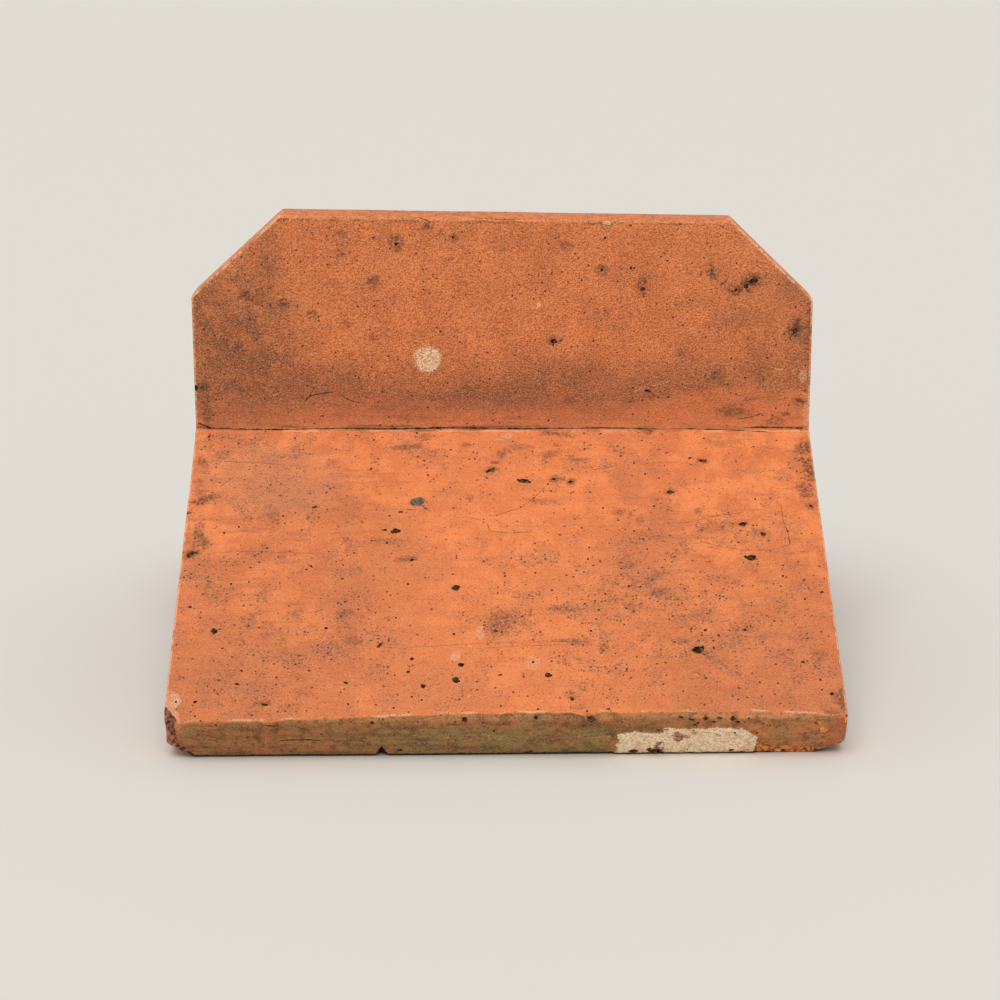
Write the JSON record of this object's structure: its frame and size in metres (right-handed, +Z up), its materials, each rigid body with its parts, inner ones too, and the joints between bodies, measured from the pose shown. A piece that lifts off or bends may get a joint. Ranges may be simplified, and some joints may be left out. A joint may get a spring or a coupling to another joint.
{
  "type": "crested ridge tile",
  "caption": "Fired clay ridge tile: an inverted V of two flat wings with a plain upright crest on the apex, its top corners clipped.",
  "frame": {"origin": "on the ground, under the middle of the tile's bounding box", "axes": "+X along the ridge, to the right as the picture shows it; +Y across the ridge, from the front wing to the rear one; +Z up, along the crest"},
  "size_m": [0.305, 0.3486, 0.2211],
  "materials": {
    "terracotta": "unglazed, weathered orange-red clay, matt and finely sanded, with pits, soot stains and worn pale arrises"
  },
  "bodies": {
    "root": {"ridge_tile": "terracotta"}
  },
  "joints": []
}
